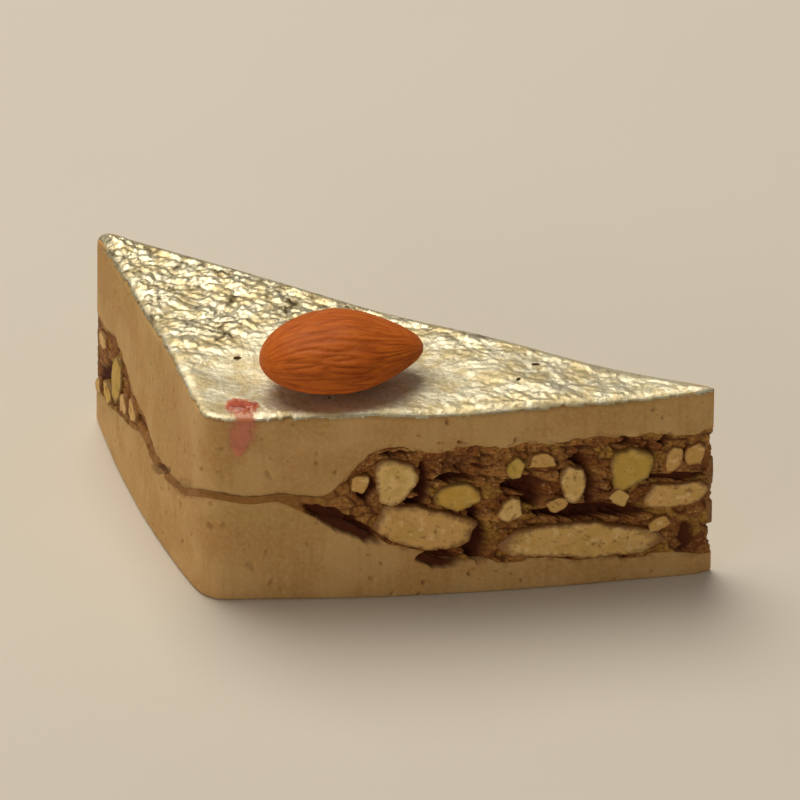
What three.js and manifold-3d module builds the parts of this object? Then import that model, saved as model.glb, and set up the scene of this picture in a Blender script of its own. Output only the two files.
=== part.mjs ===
// One piece of cashew pistachio barfi: a hand-cut triangle of two cashew layers with a nut filling
// between them, silver leaf over the top, a whole almond on the leaf and a dab of saffron red by the
// square corner. Millimetres, +Z up. The origin is on the base, in the middle of the piece's box.
import * as THREE from "three";
import { mergeVertices } from "three/addons/utils/BufferGeometryUtils.js";
import Module from "manifold-3d";

const wasm = await Module();
wasm.setup();

// Driving dimensions of the cut piece. The two sharp tips are cut blunt.
const FRONT_CUT = 61; // front side, from the square corner to where the right tip would be
const LEFT_CUT = 42.8; // left side, from the square corner to where the back tip would be
const CORNER_ANGLE = THREE.MathUtils.degToRad(104); // the square corner, cut open by hand
const THICKNESS = 26.2;
const CORNER_ROUND = 3; // how far along each side the square corner is rounded
const RIGHT_TIP_FRONT = 3.6; // how much of the front side the right tip's blunt end takes
const RIGHT_TIP_LONG = 1.5; // and of the long side
const BACK_TIP_LONG = 2.2; // the same for the back tip
const BACK_TIP_LEFT = 2.2;
const TIP_ROUND = 0.8; // rounding of the edges left at the tips
const TIP_INSET = 0.3; // share of every inset that is left at the tips
const TIP_EASE = [0, 9]; // over this distance from them
const FRONT_BOW = 1.3; // how far the front side bulges out in the middle
const LONG_BOW = -1.5; // the long side is cut hollow
const LEFT_BOW = -0.4;
const LEFT_FLARE = 2.4; // the left side spreads at the base
const EDGE_ROUND = 0.9; // soft rounding along the top edge
const BASE_ROUND = 0.5; // and along the base

// The filling: the height of its middle above the base at the three corners, and how far it reaches
// above and below its middle there. It runs out to a thin seam at the square corner.
const MIDDLE = { corner: 14.8, right: 12, back: 10 };
const ABOVE = { corner: 6, right: 8.4, back: 4.6 };
const BELOW = { corner: 8.2, right: 9.2, back: 6.7 };
const PINCHED = 0.5; // half thickness of the thin seam
const OPENS_ABOVE = [13, 20]; // where its upper seam rises, in distances from the square corner
const OPENS_BELOW = [8, 27]; // and where its lower one falls
const PINCH_BACKWARDS = 0.6; // it stays thin for longer along the left side
const LEFT_DIP = 3.2; // and sinks there, in the middle of its thin stretch
const DIP_IN = [0, 9];
const DIP_OUT = [15, 22];
const DIP_WIDTH = [3, 18]; // how far in from the left side the dip is gone
const SEAM_WAVE = 0.55; // unevenness of the two seams
const SEAM_SWAY = 0.4; // and of the thin stretch
const TOP_WAVE = 0.35; // unevenness of the top
const LAYER_GAP = 0.15; // clearance between one layer and the next
const PASTE_INSET = 0.8; // the sticky paste lies back from the cut
const NUT_PROUD = 0.25; // the cut nuts stand out of it

// The chopped nuts, largest first: length, height on the cut, and how often each size is tried.
const NUT_SIZES = [
  { long: 12, tall: 4.2, tries: 30 },
  { long: 8.5, tall: 4.8, tries: 60 },
  { long: 6, tall: 4.2, tries: 110 },
  { long: 4.4, tall: 3.2, tries: 150 },
  { long: 3, tall: 2.3, tries: 150 },
];
const NUT_CLEAR = 0.55; // paste left between two nuts
const NUT_DEEP = 3.2; // half depth of a nut into the piece
const NUT_FROM_TIP = 3.5; // the long cut's nuts keep this far from the sharp tips
const NUT_SEED = 20;

// The nuts that stand out on the front and the left cut: distance from the square corner, height,
// length, height on the cut, and tilt in degrees.
const FRONT_NUTS = [
  [21.9, 16.7, 6.2, 4.9, 80],
  [25.2, 9.9, 12.6, 5.2, -17],
  [29.4, 14, 5.4, 3.5, 4],
  [35.3, 11.7, 3.2, 2.6, 50],
  [44, 6.5, 18.6, 4.7, -2],
  [42.6, 14.8, 5.6, 2.7, -82],
  [49.3, 16.3, 6.2, 4.7, 70],
  [48.1, 12.3, 2.5, 2, -30],
  [54.8, 12.1, 8, 3.3, 2],
  [54.5, 17, 3.4, 2, 85],
  [57, 17.4, 3.2, 2.2, 80],
  [40.8, 12.1, 2.4, 1.9, 20],
  [52.9, 8, 2.6, 1.8, 12],
  [17.7, 16.6, 2.6, 2, 70],
  [35.9, 17.6, 3.2, 2, 80],
  [39, 18.4, 3.2, 2, 8],
];
const LEFT_NUTS = [
  [31.2, 11.4, 6, 3.2, 82],
  [34.4, 7.4, 3.4, 2.6, 10],
  [28, 10, 2.8, 2.4, 30],
  [24.6, 11.2, 2.8, 2.2, -20],
  [37.2, 13, 3.2, 2, 8],
  [38.6, 5.6, 2.6, 2, 60],
];

// The almond and the leaf.
const ALMOND_LENGTH = 19.2;
const ALMOND_WIDTH = 13.4;
const ALMOND_HEIGHT = 7.7;
const ALMOND_UPPER = 0.62; // how much of the height is above its widest line
const ALMOND_ALONG = 16.4; // its middle, from the square corner along the front side
const ALMOND_IN = 6.6; // and in from the front side
const ALMOND_TURN = THREE.MathUtils.degToRad(6);
const LEAF_THICK = 0.2;
const LEAF_CREASE = 0.22; // height of the leaf's folds
const LEAF_LIFT = 0.12; // clearance under the leaf
const CLEARANCE = 0.05; // and over it
const DAB_ALONG = 4.4; // the red dab's middle, in the same way as the almond's
const DAB_IN = 2.4;
const DAB_LENGTH = 3.8;
const DAB_WIDTH = 3.4;
const DAB_HEIGHT = 0.6;

const TURNS = 96; // points round the outline
const RINGS = [0, 0.5, 0.86, 1]; // rings of points from the middle out, as shares of the outline
const TOP_RINGS = [0, 0.25, 0.5, 0.7, 0.86]; // the same on the top, under the leaf

// Colours, as the daylight shows them.
const finish = (colour, roughness, metalness = 0) =>
  new THREE.MeshStandardMaterial({ color: colour, roughness, metalness });
const CASHEW_CREAM = finish(0xd2b98a, 0.75);
const NUT_FILLING = finish(0x9a7440, 0.55);
const SILVER = finish(0xd9d6c8, 0.35, 0.8);
const ALMOND_SKIN = finish(0x9a4f1f, 0.6);
const SAFFRON_RED = finish(0xb8402a, 0.3);

// The outline, seen from above: the three bowed cuts, with the square corner rounded and a short
// blunt end at each tip.
const corner = new THREE.Vector2(0, 0);
const rightTip = new THREE.Vector2(FRONT_CUT, 0);
const backTip = new THREE.Vector2(LEFT_CUT, 0).rotateAround(corner, CORNER_ANGLE);

function cut(start, end, offStart, offEnd, bow) {
  const along = end.clone().sub(start).normalize();
  const out = new THREE.Vector2(along.y, -along.x);
  const from = start.clone().addScaledVector(along, offStart);
  const to = end.clone().addScaledVector(along, -offEnd);
  return { start, along, out, from, to, bow, offStart, length: from.distanceTo(to) };
}

const FRONT = cut(corner, rightTip, 0, RIGHT_TIP_FRONT, FRONT_BOW);
const LONG = cut(rightTip, backTip, RIGHT_TIP_LONG, BACK_TIP_LONG, LONG_BOW);
const LEFT = cut(backTip, corner, BACK_TIP_LEFT, 0, LEFT_BOW);
const CUTS = [FRONT, LONG, LEFT];

function outlinePath() {
  const path = new THREE.Path();
  const rightEnd = cut(FRONT.to, LONG.from, 0, 0, 0);
  const backEnd = cut(LONG.to, LEFT.from, 0, 0, 0);
  const edges = [FRONT, rightEnd, LONG, backEnd, LEFT];
  const rounds = [CORNER_ROUND, TIP_ROUND, TIP_ROUND, TIP_ROUND, TIP_ROUND];
  edges.forEach((edge, i) => {
    const nextRound = rounds[(i + 1) % edges.length];
    const next = edges[(i + 1) % edges.length];
    const from = edge.from.clone().addScaledVector(edge.along, rounds[i]);
    const to = edge.to.clone().addScaledVector(edge.along, -nextRound);
    const bulge = from.clone().add(to).divideScalar(2).addScaledVector(edge.out, 2 * edge.bow);
    const after = next.from.clone().addScaledVector(next.along, nextRound);
    if (i === 0) path.moveTo(from.x, from.y);
    path.quadraticCurveTo(bulge.x, bulge.y, to.x, to.y);
    path.quadraticCurveTo(edge.to.x, edge.to.y, after.x, after.y);
  });
  return path;
}

const outline = outlinePath().getSpacedPoints(TURNS).slice(0, TURNS);

// The outward direction at each point of the outline, from its two neighbours.
const outwards = outline.map((_, i) => {
  const along = outline[(i + 1) % TURNS].clone().sub(outline[(i + TURNS - 1) % TURNS]).normalize();
  return new THREE.Vector2(along.y, -along.x);
});

const smooth = (x, [from, to]) => THREE.MathUtils.smoothstep(x, from, to);
const ramp = (x, [from, to]) => THREE.MathUtils.clamp((x - from) / (to - from), 0, 1);

// The rings of points shrink towards the centre of the triangle's inscribed circle. That moves all
// three sides in by the same distance, and the rings never cross at a sharp tip.
const [a, b, c] = [rightTip.distanceTo(backTip), LEFT_CUT, FRONT_CUT];
const incentre = new THREE.Vector2()
  .addScaledVector(corner, a / (a + b + c))
  .addScaledVector(rightTip, b / (a + b + c))
  .addScaledVector(backTip, c / (a + b + c));
const inradius = (FRONT_CUT * backTip.y) / (a + b + c);

// The size of a ring that lies this far inside the outline, and less far near the two tips.
function shrunk(edge, distance) {
  const tips = [FRONT.to, LONG.from, LONG.to, LEFT.from];
  const toTip = Math.min(...tips.map((tip) => edge.distanceTo(tip)));
  return 1 - (distance / inradius) * THREE.MathUtils.lerp(TIP_INSET, 1, smooth(toTip, TIP_EASE));
}

// How much of a point belongs to each corner: 1 at that corner, 0 on the side facing it.
function shares(x, y) {
  const toBack = y / backTip.y;
  const toRight = (x - toBack * backTip.x) / FRONT_CUT;
  return { right: toRight, back: toBack, corner: 1 - toRight - toBack };
}

const ripple = (x, y, phase) =>
  0.5 * Math.sin(0.83 * x + 0.31 * y + phase) +
  0.3 * Math.sin(0.47 * x - 0.74 * y + 2.1 * phase) +
  0.2 * Math.sin(1.13 * y - 0.21 * x + 3.3 * phase);

function fillingAt(x, y) {
  const s = shares(x, y);
  const between = (ends) => ends.corner * s.corner + ends.right * s.right + ends.back * s.back;
  const back = s.back * LEFT_CUT;
  const forward = s.right * FRONT_CUT;
  const away = Math.hypot(forward, PINCH_BACKWARDS * back);
  const above = smooth(away, OPENS_ABOVE);
  const below = ramp(away, OPENS_BELOW);
  const dipped = smooth(back, DIP_IN) * (1 - smooth(back, DIP_OUT)) * (1 - smooth(forward, DIP_WIDTH));
  const level = between(MIDDLE) - LEFT_DIP * dipped + SEAM_SWAY * (1 - above) * ripple(x, y, 0.9);
  const reachUp = PINCHED + (between(ABOVE) - PINCHED) * above;
  const reachDown = PINCHED + (between(BELOW) - PINCHED) * below;
  return {
    low: level - reachDown + SEAM_WAVE * below * ripple(x, y, 0.4),
    high: level + reachUp + SEAM_WAVE * above * ripple(x, y, 1.9),
  };
}

const topAt = (x, y) => THICKNESS + TOP_WAVE * ripple(0.35 * x, 0.35 * y, 2.6) - TOP_WAVE;

// A lathe whose turns follow the cut outline instead of a circle. Each ring of the profile lies at a
// share of the outline, or at a distance inside it, and has its own height rule. Rings that run
// outwards and rings that run inwards are split into the same triangles, so two layers that share a
// seam never cut into each other.
function turned(profile) {
  const points = [];
  for (const { share = 1, inside = 0, height } of profile) {
    for (let turn = 0; turn < TURNS; turn++) {
      const edge = outline[turn];
      const distance = typeof inside === "function" ? inside(edge) : inside;
      const size = share * shrunk(edge, Math.max(distance, 0));
      const proud = Math.max(-distance, 0);
      const x = incentre.x + (edge.x - incentre.x) * size;
      const y = incentre.y + (edge.y - incentre.y) * size;
      points.push(x + outwards[turn].x * proud, y + outwards[turn].y * proud, height(x, y));
    }
  }
  const index = [];
  for (let ring = 0; ring + 1 < profile.length; ring++) {
    const inwards = (profile[ring + 1].share ?? 1) < (profile[ring].share ?? 1);
    for (let turn = 0; turn < TURNS; turn++) {
      const next = (turn + 1) % TURNS;
      const [a, b] = [ring * TURNS + turn, ring * TURNS + next];
      const [c, d] = [a + TURNS, b + TURNS];
      if (inwards) index.push(a, b, d, a, d, c);
      else index.push(a, b, c, b, d, c);
    }
  }
  const geometry = new THREE.BufferGeometry();
  geometry.setAttribute("position", new THREE.Float32BufferAttribute(points, 3));
  geometry.setIndex(index);
  return closed(geometry);
}

// Shared points merged and collapsed triangles dropped, so that the surface is one closed body.
function closed(geometry) {
  geometry.deleteAttribute("normal");
  geometry.deleteAttribute("uv");
  const merged = mergeVertices(geometry, 1e-4);
  const kept = [];
  const index = merged.index.array;
  for (let i = 0; i < index.length; i += 3) {
    const [a, b, c] = [index[i], index[i + 1], index[i + 2]];
    if (a !== b && b !== c && c !== a) kept.push(a, b, c);
  }
  merged.setIndex(kept);
  return merged;
}

const ringsOut = (height, shares = RINGS) => shares.map((share) => ({ share, height }));
const ringsIn = (height, shares = RINGS) => ringsOut(height, shares).reverse();

function solidOf(geometry) {
  const vertProperties = new Float32Array(geometry.attributes.position.array);
  const triVerts = new Uint32Array(geometry.index.array);
  return new wasm.Manifold(new wasm.Mesh({ numProp: 3, vertProperties, triVerts }));
}

function geometryOf(solid) {
  const mesh = solid.getMesh();
  const geometry = new THREE.BufferGeometry();
  geometry.setAttribute("position", new THREE.BufferAttribute(mesh.vertProperties, 3));
  geometry.setIndex(new THREE.BufferAttribute(mesh.triVerts, 1));
  return geometry;
}

// The cut piece leans out a little towards its base along the middle of the left side.
function flared(geometry) {
  const position = geometry.attributes.position;
  for (let v = 0; v < position.count; v++) {
    const [x, y, z] = [position.getX(v), position.getY(v), position.getZ(v)];
    const s = shares(x, y);
    const besideLeft = 4 * Math.max(s.back, 0) * Math.max(s.corner, 0) * (1 - s.right) ** 2;
    const out = LEFT_FLARE * besideLeft * (1 - z / THICKNESS);
    position.setXYZ(v, x + LEFT.out.x * out, y + LEFT.out.y * out, z);
  }
  return geometry;
}

function bottomLayer() {
  const base = () => 0;
  const seam = (x, y) => fillingAt(x, y).low;
  return turned([
    ...ringsOut(base).slice(0, -1),
    { inside: BASE_ROUND, height: base },
    { height: () => BASE_ROUND },
    ...ringsIn(seam),
  ]);
}

function topLayer() {
  const seam = (x, y) => fillingAt(x, y).high;
  return turned([
    ...ringsOut(seam),
    { height: (x, y) => topAt(x, y) - EDGE_ROUND },
    { inside: 0.3 * EDGE_ROUND, height: (x, y) => topAt(x, y) - 0.3 * EDGE_ROUND },
    { inside: EDGE_ROUND, height: topAt },
    ...ringsIn(topAt, TOP_RINGS),
  ]);
}

// The same numbers come back each time from the same seed.
function drawsFrom(seed) {
  const MULTIPLIER = 48271;
  const MODULUS = 2147483647;
  let state = seed;
  return () => {
    state = (state * MULTIPLIER) % MODULUS;
    return state / MODULUS;
  };
}

// A nut's outline on the cut, as three circles in a row.
function circles(nut) {
  const reach = (nut.long - nut.tall) / 2;
  return [-1, 0, 1].map((k) => ({
    along: nut.along + k * reach * Math.cos(nut.tilt),
    up: nut.up + k * reach * Math.sin(nut.tilt),
    radius: nut.tall / 2,
  }));
}

function clearOf(nut, others) {
  return others.every((other) =>
    circles(nut).every((a) =>
      circles(other).every(
        (b) => Math.hypot(a.along - b.along, a.up - b.up) > a.radius + b.radius + NUT_CLEAR,
      ),
    ),
  );
}

// A point on one of the cuts, at a distance along it from the corner or tip that it starts at.
function pointOn(side, along) {
  const share = THREE.MathUtils.clamp((along - side.offStart) / side.length, 0, 1);
  const bend = 4 * side.bow * share * (1 - share);
  return side.start.clone().addScaledVector(side.along, along).addScaledVector(side.out, bend);
}

// The chopped nuts that show on the three cuts. The front and the left cut have the ones listed
// above. On the long cut each size is tried in turn at random places, and stays only where it has
// room.
function choppedNuts(side, draw) {
  if (side !== LONG) {
    const listed = side === FRONT ? FRONT_NUTS : LEFT_NUTS;
    return listed.map(([away, up, long, tall, degrees]) => {
      const along = side === FRONT ? away : LEFT_CUT - away;
      return { along, up, long, tall, tilt: THREE.MathUtils.degToRad(degrees), sunk: 0.2 };
    });
  }
  const placed = [];
  for (const size of NUT_SIZES) {
    for (let k = 0; k < size.tries; k++) {
      const along = side.offStart + NUT_FROM_TIP + draw() * (side.length - 2 * NUT_FROM_TIP);
      const rise = draw();
      const long = size.long * (0.8 + 0.4 * draw());
      const tall = size.tall * (0.85 + 0.3 * draw());
      const tilt = (draw() - 0.5) * (draw() < 0.3 ? 2.6 : 0.9);
      const sunk = draw();
      const at = pointOn(side, along);
      const { low, high } = fillingAt(at.x, at.y);
      const room = high - low - 0.7 * tall;
      const nut = { along, up: low + 0.35 * tall + rise * room, long, tall, tilt, sunk };
      if (room > 0 && clearOf(nut, placed)) placed.push(nut);
    }
  }
  return placed;
}

function nutSolid(nut, side) {
  const shape = new THREE.IcosahedronGeometry(1, 0);
  const stretch = new THREE.Matrix4().makeScale(0.56 * nut.long, 0.56 * nut.tall, NUT_DEEP);
  const tilt = new THREE.Matrix4().makeRotationZ(nut.tilt);
  const along = new THREE.Vector3(side.along.x, side.along.y, 0);
  const up = new THREE.Vector3(0, 0, 1);
  const out = new THREE.Vector3(side.out.x, side.out.y, 0);
  const at = pointOn(side, nut.along).addScaledVector(side.out, -nut.sunk);
  const frame = new THREE.Matrix4().makeBasis(along, up, out).setPosition(at.x, at.y, nut.up);
  shape.applyMatrix4(frame.multiply(tilt).multiply(stretch));
  return solidOf(closed(shape));
}

// Paste lying back from the cut, with the nuts fused to it and trimmed between the two seams.
function filling() {
  const draw = drawsFrom(NUT_SEED);
  const nuts = CUTS.flatMap((side) => choppedNuts(side, draw).map((nut) => nutSolid(nut, side)));
  const base = () => 0;
  const lid = () => THICKNESS;
  const paste = solidOf(
    turned([
      ...ringsOut(base).slice(0, -1),
      { inside: PASTE_INSET, height: base },
      { inside: PASTE_INSET, height: lid },
      ...ringsIn(lid).slice(1),
    ]),
  );
  const under = (x, y) => fillingAt(x, y).low + LAYER_GAP;
  const over = (x, y) => fillingAt(x, y).high - LAYER_GAP;
  const room = solidOf(
    turned([
      ...ringsOut(under),
      { inside: -NUT_PROUD, height: under },
      { inside: -NUT_PROUD, height: over },
      ...ringsIn(over),
    ]),
  );
  return geometryOf(wasm.Manifold.union([paste, ...nuts]).intersect(room));
}

// The leaf lies over the top in shallow folds, with a ragged rim a little inside the edge.
function leafUnder(x, y) {
  const fold = 1 - Math.abs(Math.sin(0.21 * x + 0.38 * y + 0.8 * Math.sin(0.17 * x)));
  return topAt(x, y) + LEAF_LIFT + LEAF_CREASE * fold;
}

const leafOver = (x, y) => leafUnder(x, y) + LEAF_THICK;

function silverLeaf() {
  const rim = (edge) => EDGE_ROUND + 0.3 + 0.25 * ripple(1.7 * edge.x, 1.7 * edge.y, 5);
  return turned([
    ...ringsOut(leafUnder, TOP_RINGS),
    { inside: rim, height: leafUnder },
    { inside: rim, height: leafOver },
    ...ringsIn(leafOver, TOP_RINGS),
  ]);
}

// The lowest level at which something flat-bottomed and this wide clears the leaf's folds.
function restOnLeaf(x, y, reach) {
  const steps = [-1, -0.5, 0, 0.5, 1];
  const levels = steps.flatMap((i) => steps.map((j) => leafOver(x + i * reach, y + j * reach)));
  return Math.max(...levels) + CLEARANCE;
}

// A whole almond on its flatter side: round at one end, drawn out to a point at the other. Its
// origin is in the middle of the underside.
function almond() {
  const geometry = new THREE.SphereGeometry(1, 30, 20);
  geometry.rotateZ(Math.PI / 2);
  const position = geometry.attributes.position;
  for (let v = 0; v < position.count; v++) {
    const x = position.getX(v);
    const taper = 1 - 0.2 * smooth(x, [0, 1]) - 0.04 * x;
    const y = position.getY(v) * taper;
    const z = position.getZ(v) * (1 - 0.12 * smooth(x, [0, 1]));
    position.setXYZ(v, x, y, z > 0 ? ALMOND_UPPER * z : (1 - ALMOND_UPPER) * z);
  }
  geometry.scale(ALMOND_LENGTH / 2, ALMOND_WIDTH / 2, ALMOND_HEIGHT);
  geometry.translate(0, 0, (1 - ALMOND_UPPER) * ALMOND_HEIGHT);
  return closed(geometry);
}

// A low drop that has spread over the leaf.
function saffronDab() {
  const profile = [
    [0, 0],
    [0.55, 0],
    [1, 0],
    [0.93, 0.45],
    [0.6, 0.85],
    [0, 1],
  ].map(([r, h]) => new THREE.Vector2(r, h));
  const geometry = new THREE.LatheGeometry(profile, 18);
  geometry.rotateX(Math.PI / 2);
  const position = geometry.attributes.position;
  for (let v = 0; v < position.count; v++) {
    const [x, y, z] = [position.getX(v), position.getY(v), position.getZ(v)];
    const lobe = 1 + 0.16 * Math.sin(3 * Math.atan2(y, x) + 0.6);
    position.setXYZ(v, (x * lobe * DAB_LENGTH) / 2, (y * lobe * DAB_WIDTH) / 2, z * DAB_HEIGHT);
  }
  return closed(geometry);
}

const barfi = new THREE.Group();

function place(name, geometry, material, at) {
  const mesh = new THREE.Mesh(geometry, material);
  mesh.name = name;
  if (at) mesh.position.copy(at);
  barfi.add(mesh);
  return mesh;
}

place("bottom_layer", flared(bottomLayer()), CASHEW_CREAM);
place("filling", flared(filling()), NUT_FILLING);
place("top_layer", flared(topLayer()), CASHEW_CREAM);
place("silver_leaf", silverLeaf(), SILVER);
const almondLevel = restOnLeaf(ALMOND_ALONG, ALMOND_IN, 1.5);
const almondAt = new THREE.Vector3(ALMOND_ALONG, ALMOND_IN, almondLevel);
place("almond", almond(), ALMOND_SKIN, almondAt).rotation.z = ALMOND_TURN;
const dabLevel = restOnLeaf(DAB_ALONG, DAB_IN, DAB_LENGTH / 2);
const dabAt = new THREE.Vector3(DAB_ALONG, DAB_IN, dabLevel);
place("saffron_dab", saffronDab(), SAFFRON_RED, dabAt);

const middle = new THREE.Box3().setFromObject(barfi).getCenter(new THREE.Vector3());
barfi.position.set(-middle.x, -middle.y, 0);

export default barfi;
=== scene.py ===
# %% [markdown]
# # A piece of cashew pistachio barfi
#
# Barfi is a soft, fudge-like sweet. This piece is a sandwich of it: two layers of smooth cashew
# paste with a sticky filling of chopped cashews and pistachios between them. It is cut by hand into
# a triangle, covered with silver leaf, and finished with a whole almond and a dab of saffron red.
# The solids loaded here give the true sizes. Each one is rebuilt as a fine mesh with a finish of its
# own. Shapes are worked out in millimetres, as a sweet maker would measure them, and become metres
# when a mesh is made.

# %% Load the solids and keep their box
import itertools
import math
from types import SimpleNamespace

import bpy
import numpy as np
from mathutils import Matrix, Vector


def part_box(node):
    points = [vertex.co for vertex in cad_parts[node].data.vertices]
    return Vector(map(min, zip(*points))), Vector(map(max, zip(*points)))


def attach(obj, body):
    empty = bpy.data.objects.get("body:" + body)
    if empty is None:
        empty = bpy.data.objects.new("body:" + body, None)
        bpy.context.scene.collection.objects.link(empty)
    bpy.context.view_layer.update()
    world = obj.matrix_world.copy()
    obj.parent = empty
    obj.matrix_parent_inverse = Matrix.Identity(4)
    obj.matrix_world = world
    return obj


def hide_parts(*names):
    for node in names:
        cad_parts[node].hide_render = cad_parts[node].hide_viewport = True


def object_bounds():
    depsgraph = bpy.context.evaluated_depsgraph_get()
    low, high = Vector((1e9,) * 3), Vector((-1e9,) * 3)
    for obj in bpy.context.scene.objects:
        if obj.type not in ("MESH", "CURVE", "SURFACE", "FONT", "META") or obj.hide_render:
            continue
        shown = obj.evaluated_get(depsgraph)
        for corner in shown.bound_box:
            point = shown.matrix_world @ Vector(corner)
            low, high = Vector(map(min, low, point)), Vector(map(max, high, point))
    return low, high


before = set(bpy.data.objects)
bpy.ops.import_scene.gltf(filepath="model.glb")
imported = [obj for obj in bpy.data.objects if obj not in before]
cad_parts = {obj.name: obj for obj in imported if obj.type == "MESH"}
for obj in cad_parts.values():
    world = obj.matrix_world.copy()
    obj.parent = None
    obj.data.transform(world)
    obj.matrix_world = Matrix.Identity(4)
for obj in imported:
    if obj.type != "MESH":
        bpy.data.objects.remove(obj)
SOLIDS_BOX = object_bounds()
MM = 0.001
print("solids:", ", ".join(sorted(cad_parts)))
print("their box in mm:", [[round(c / MM, 2) for c in corner] for corner in SOLIDS_BOX])

# %% [markdown]
# ## The three cuts
#
# A knife has cut the slab along three lines, none of them quite straight, and the sharp tips have
# gone blunt. The outline could be drawn point by point. It is worked out instead from the lengths of
# the cuts, as the solids are, so that every piece below can be laid along the same lines. Each side
# is one curve, and each corner another.

# %% The outline of the piece, seen from above
FRONT_CUT, LEFT_CUT = 61.0, 42.8  # from the square corner to where the sharp tips would be
CORNER_ANGLE = math.radians(104)
THICKNESS = 26.2
BLUNT_RIGHT = (3.6, 1.5)  # what the right tip's blunt end takes of the front and the long side
BLUNT_BACK = (2.2, 2.2)  # and the back tip's of the long and the left side
FRONT_BOW, LONG_BOW, LEFT_BOW = 1.3, -1.5, -0.4  # how far each side bulges
ROUNDS = (3.0, 0.8, 0.8, 0.8, 0.8)  # how far from each corner its rounding starts
COLUMNS = 900

CORNER_PLACE = np.array([-24.411, -19.381, 0.0])  # the square corner, from the middle of the box
CORNER = np.array([0.0, 0.0])
RIGHT_TIP = np.array([FRONT_CUT, 0.0])
BACK_TIP = LEFT_CUT * np.array([math.cos(CORNER_ANGLE), math.sin(CORNER_ANGLE)])


def cut(start, end, off_start, off_end, bow):
    """One side, from the corner where it starts to the one where it ends."""
    along = (end - start) / np.linalg.norm(end - start)
    out = np.array([along[1], -along[0]])
    first, last = start + off_start * along, end - off_end * along
    length = np.linalg.norm(last - first)
    return SimpleNamespace(start=start, along=along, out=out, first=first, last=last, bow=bow,
                           off=off_start, length=length)


FRONT = cut(CORNER, RIGHT_TIP, 0, BLUNT_RIGHT[0], FRONT_BOW)
LONG = cut(RIGHT_TIP, BACK_TIP, BLUNT_RIGHT[1], BLUNT_BACK[0], LONG_BOW)
LEFT = cut(BACK_TIP, CORNER, BLUNT_BACK[1], 0, LEFT_BOW)


def curve(start, pull, end, steps=160):
    t = np.linspace(0, 1, steps, endpoint=False)[:, None]
    return (1 - t) ** 2 * start + 2 * t * (1 - t) * pull + t**2 * end


def outline_points():
    right_end, back_end = cut(FRONT.last, LONG.first, 0, 0, 0), cut(LONG.last, LEFT.first, 0, 0, 0)
    edges = [FRONT, right_end, LONG, back_end, LEFT]
    drawn = []
    for number, edge in enumerate(edges):
        following = (number + 1) % len(edges)
        after, ahead = edges[following], ROUNDS[following]
        start, end = edge.first + ROUNDS[number] * edge.along, edge.last - ahead * edge.along
        pull = (start + end) / 2 + 2 * edge.bow * edge.out
        drawn += [curve(start, pull, end), curve(end, edge.last, after.first + ahead * after.along)]
    drawn = np.concatenate(drawn)
    closed = np.vstack([drawn, drawn[:1]])
    run = np.concatenate([[0], np.cumsum(np.linalg.norm(np.diff(closed, axis=0), axis=1))])
    spots = np.linspace(0, run[-1], COLUMNS, endpoint=False)
    return np.stack([np.interp(spots, run, closed[:, k]) for k in (0, 1)], axis=1)


OUTLINE = outline_points()
tangents = np.roll(OUTLINE, -1, axis=0) - np.roll(OUTLINE, 1, axis=0)
OUTWARDS = np.stack([tangents[:, 1], -tangents[:, 0]], axis=1)
OUTWARDS /= np.linalg.norm(OUTWARDS, axis=1)[:, None]
SIDES = [np.linalg.norm(RIGHT_TIP - BACK_TIP), LEFT_CUT, FRONT_CUT]
MIDDLE = (SIDES[0] * CORNER + SIDES[1] * RIGHT_TIP + SIDES[2] * BACK_TIP) / sum(SIDES)
INRADIUS = FRONT_CUT * BACK_TIP[1] / sum(SIDES)
RUN = np.cumsum(np.linalg.norm(OUTLINE - np.roll(OUTLINE, 1, axis=0), axis=1))
print("outline box in mm:", OUTLINE.min(0).round(2), OUTLINE.max(0).round(2))
print("way round it in mm:", RUN[-1].round(1), "and its inscribed circle:", round(INRADIUS, 2))

# %% [markdown]
# ## The levels inside
#
# The two cashew layers aren't even: the filling is thick towards the sharp tips, and runs out to a
# thin seam at the square corner, where the layers were pressed together. These rules give the
# heights of both seams and of the top anywhere on the piece. They are the ones that the solids
# follow, so the fine meshes keep the solids' form.


# %% Heights of the seams and the top
# The filling's level and how far it reaches from there, at the square corner, the right tip and
# the back tip.
FILLING_LEVEL, REACH_UP, REACH_DOWN = (14.8, 12, 10), (6, 8.4, 4.6), (8.2, 9.2, 6.7)
PINCHED = 0.5  # half thickness of the thin seam
OPENS_ABOVE, OPENS_BELOW = (13, 20), (8, 27)  # where each seam starts to part and is fully open
LEFT_DIP = 3.2  # how far the thin seam sags along the left cut
SEAM_WAVE, PINCH_WAVE, TOP_WAVE = 0.55, 0.4, 0.35  # how far each of them ripples
LEFT_LEAN = 2.4  # how far the left side spreads at its base


def smooth(x, start, end):
    t = np.clip((x - start) / (end - start), 0, 1)
    return t * t * (3 - 2 * t)


def shares(x, y):
    """How much of a point belongs to the right tip, the back tip and the square corner."""
    back = y / BACK_TIP[1]
    right = (x - back * BACK_TIP[0]) / FRONT_CUT
    return right, back, 1 - right - back


def ripple(x, y, phase):
    return (
        0.5 * np.sin(0.83 * x + 0.31 * y + phase)
        + 0.3 * np.sin(0.47 * x - 0.74 * y + 2.1 * phase)
        + 0.2 * np.sin(1.13 * y - 0.21 * x + 3.3 * phase)
    )


def between_corners(values, x, y):
    """A value given at the square corner, the right tip and the back tip, anywhere between them."""
    right, back, corner = shares(x, y)
    return values[0] * corner + values[1] * right + values[2] * back


def opening(x, y):
    """How far the filling has opened out at its lower and its upper seam, from 0 in the pinch to 1."""
    right, back, _ = shares(x, y)
    away = np.hypot(FRONT_CUT * right, 0.6 * LEFT_CUT * back)
    start, end = OPENS_BELOW
    return np.clip((away - start) / (end - start), 0, 1), smooth(away, *OPENS_ABOVE)


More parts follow.
